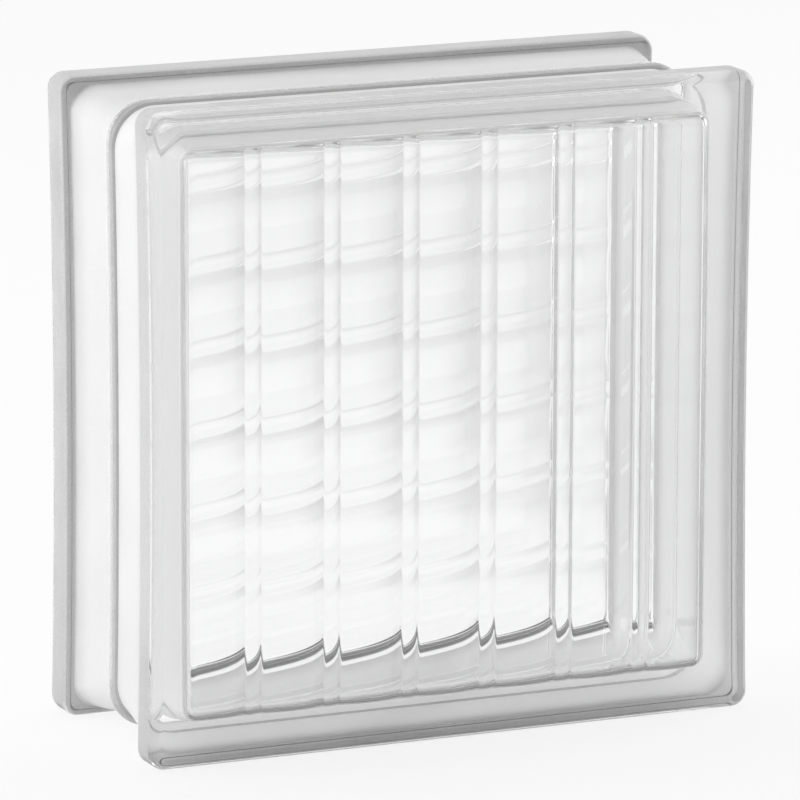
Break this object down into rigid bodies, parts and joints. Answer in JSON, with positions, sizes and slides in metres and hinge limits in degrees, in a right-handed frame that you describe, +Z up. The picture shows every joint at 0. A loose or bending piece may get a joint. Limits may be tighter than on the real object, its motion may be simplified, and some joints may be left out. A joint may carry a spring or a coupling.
{
  "type": "glass block",
  "caption": "Square hollow glass block of two fused pressed cups, with crossed reeds inside and a recessed channel for mortar round its edge.",
  "frame": {"origin": "centre of the block's footprint, on the level that the lower flange edges stand on", "axes": "+X across the width, +Y through the block from the front face to the rear face, +Z up"},
  "size_m": [0.19, 0.08, 0.19],
  "materials": {
    "front_glass": "clear, fire polished, smooth outside",
    "rear_glass": "clear, fire polished, smooth outside"
  },
  "bodies": {
    "root": {"front_half": "front_glass", "rear_half": "rear_glass"}
  },
  "joints": []
}
